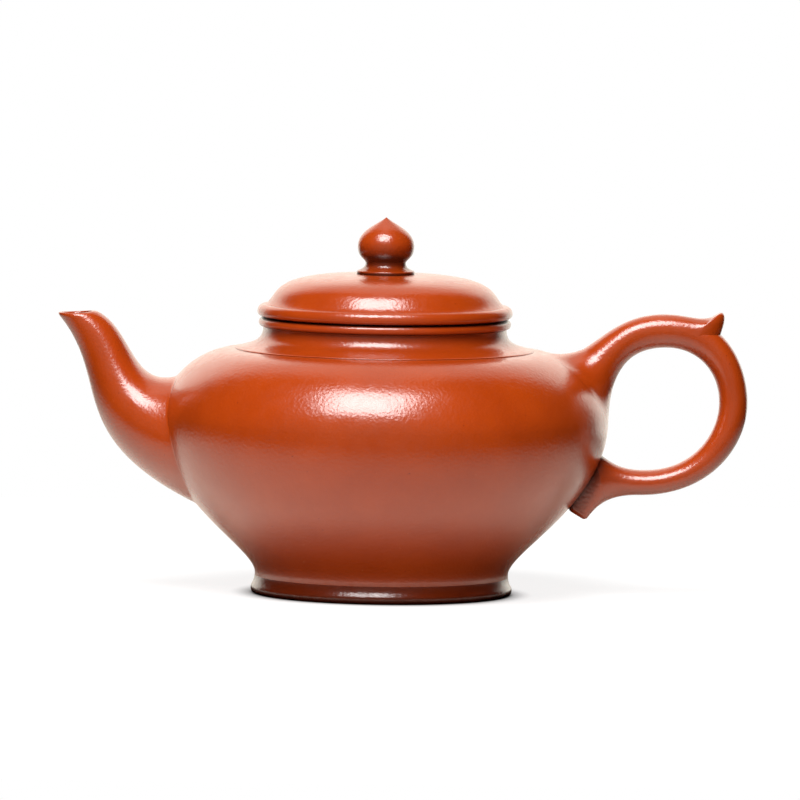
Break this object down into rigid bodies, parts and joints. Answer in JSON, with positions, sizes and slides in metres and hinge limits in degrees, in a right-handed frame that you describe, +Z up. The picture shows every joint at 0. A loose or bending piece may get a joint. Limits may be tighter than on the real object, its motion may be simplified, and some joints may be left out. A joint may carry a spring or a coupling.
{
  "type": "yixing clay teapot",
  "caption": "Small red clay teapot with a round belly, curved pouring spout, loop handle with a thumb rest, and a domed lift-off lid with a pointed bead knob.",
  "frame": {"origin": "centre of the foot ring, on the table", "axes": "+Z up along the pot's axis, +X towards the handle, the spout towards -X"},
  "size_m": [0.1597, 0.1036, 0.0869],
  "materials": {
    "red_clay": "burnished red clay, unglazed, with a soft satin gloss",
    "raw_clay": "fired red clay, unglazed and matt"
  },
  "bodies": {
    "pot": {"belly_wall": "red_clay", "base_disc": "raw_clay", "top_disc": "raw_clay", "foot_ring": "red_clay", "neck": "red_clay", "mouth_rim": "red_clay", "spout": "red_clay", "ball_strainer": "raw_clay", "handle_loop": "red_clay", "thumb_rest": "red_clay", "handle_tail": "red_clay"},
    "lid": {"lid_dome": "red_clay", "lid_rim": "red_clay", "lid_flange": "raw_clay", "knob_seat": "red_clay", "knob": "red_clay"}
  },
  "joints": [
    {"name": "lid_lift", "type": "slide", "parent": "pot", "child": "lid", "axis": [0, 0, 1], "range_m": [0, 0.06]}
  ]
}
